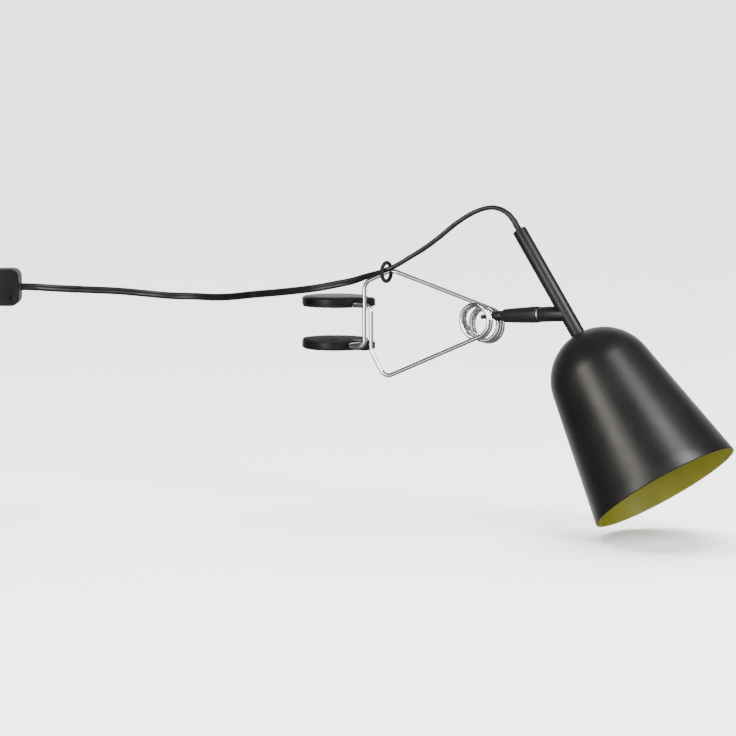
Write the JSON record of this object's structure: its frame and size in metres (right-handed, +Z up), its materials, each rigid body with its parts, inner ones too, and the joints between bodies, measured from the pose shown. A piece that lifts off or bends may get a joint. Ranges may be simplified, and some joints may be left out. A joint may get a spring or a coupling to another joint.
{
  "type": "clip-on reading lamp",
  "caption": "Sprung wire clamp with two round pads carrying a swivelling conical shade on a slim stem, fed by a flat mains cord with an in-line switch.",
  "frame": {"origin": "centre of the upper pad's gripping face, which rests on the top of the board", "axes": "+X from the pads along the clamp towards the grip and shade, +Z up, square to the gripping faces; +Y across the clamp, along the spring coil's axis"},
  "size_m": [0.6649, 0.233, 0.2151],
  "materials": {
    "spring_wire": "bright plated",
    "pad_moulding": "satin moulded",
    "soft_rubber": "matt",
    "black_metal": "satin powder coat",
    "shade_paint": "satin black outside, olive green inside",
    "zinc_steel": "zinc plated",
    "black_nylon": "matt",
    "holder_plastic": "moulded",
    "brass_parts": "plain",
    "plug_metal": "nickel plated",
    "bulb_metal": "rolled",
    "bulb_collar": "moulded",
    "bulb_opal": "opal",
    "switch_plastic": "fine grained",
    "cord_sheath": "smooth sheath",
    "cord_tie": "woven strap"
  },
  "bodies": {
    "clamp": {"upper_arm": "spring_wire", "spring_coil": "spring_wire", "pin_cap_lower": "soft_rubber", "cord_ring": "soft_rubber", "coil_bolt": "black_metal", "coil_shoe": "black_metal", "grip": "black_metal", "swivel_pin": "zinc_steel", "seam_washer": "zinc_steel", "spring_washer": "zinc_steel", "switch_base": "switch_plastic", "switch_cover": "switch_plastic", "switch_contacts": "brass_parts", "switch_screws": "zinc_steel", "plug_body": "switch_plastic", "plug_pins": "plug_metal", "cord_main": "cord_sheath", "cord_lead": "cord_sheath", "cord_spare_coil": "cord_sheath", "cord_tail": "cord_sheath", "cord_tie": "cord_tie"},
    "jaw_arm": {"lower_arm": "spring_wire", "pin_cap_upper": "soft_rubber"},
    "upper_pad": {"upper_pad": "pad_moulding", "upper_pad_facing": "soft_rubber"},
    "lower_pad": {"lower_pad": "pad_moulding", "lower_pad_facing": "soft_rubber"},
    "head": {"cross_arm": "black_metal", "stem_tube": "black_metal", "stem_bush": "black_nylon", "shade": "shade_paint", "shade_washer": "zinc_steel", "shade_nut": "zinc_steel", "holder_cap": "holder_plastic", "holder_body": "holder_plastic", "holder_thread": "brass_parts", "holder_contacts": "brass_parts", "terminal_screws": "zinc_steel", "inner_cord": "cord_sheath", "bulb_base": "bulb_metal", "bulb_collar": "bulb_collar", "bulb_globe": "bulb_opal"},
    "rocker": {"switch_rocker": "switch_plastic"}
  },
  "joints": [
    {"name": "jaw_open", "type": "hinge", "parent": "clamp", "child": "jaw_arm", "pos_m": [0.124, 0, -0.0062], "axis": [0, 1, 0], "range_deg": [-8, 10], "stiffness_Nm_per_rad": 4},
    {"name": "upper_pad_tilt", "type": "hinge", "parent": "jaw_arm", "child": "upper_pad", "pos_m": [0.026, 0, 0.0024], "axis": [0, -1, 0], "range_deg": [-12, 12]},
    {"name": "lower_pad_tilt", "type": "hinge", "parent": "clamp", "child": "lower_pad", "pos_m": [0.026, 0, -0.0259], "axis": [0, 1, 0], "range_deg": [-12, 12]},
    {"name": "head_swivel", "type": "hinge", "parent": "clamp", "child": "head", "pos_m": [0.1725, 0, 0.00198], "axis": [0.9969, 0, 0.0785], "range_deg": [-60, 60]},
    {"name": "rocker_tilt", "type": "hinge", "parent": "clamp", "child": "rocker", "pos_m": [-0.21019, -0.14962, 0.01325], "axis": [0, 0, 1], "range_deg": [-16, 0]}
  ]
}
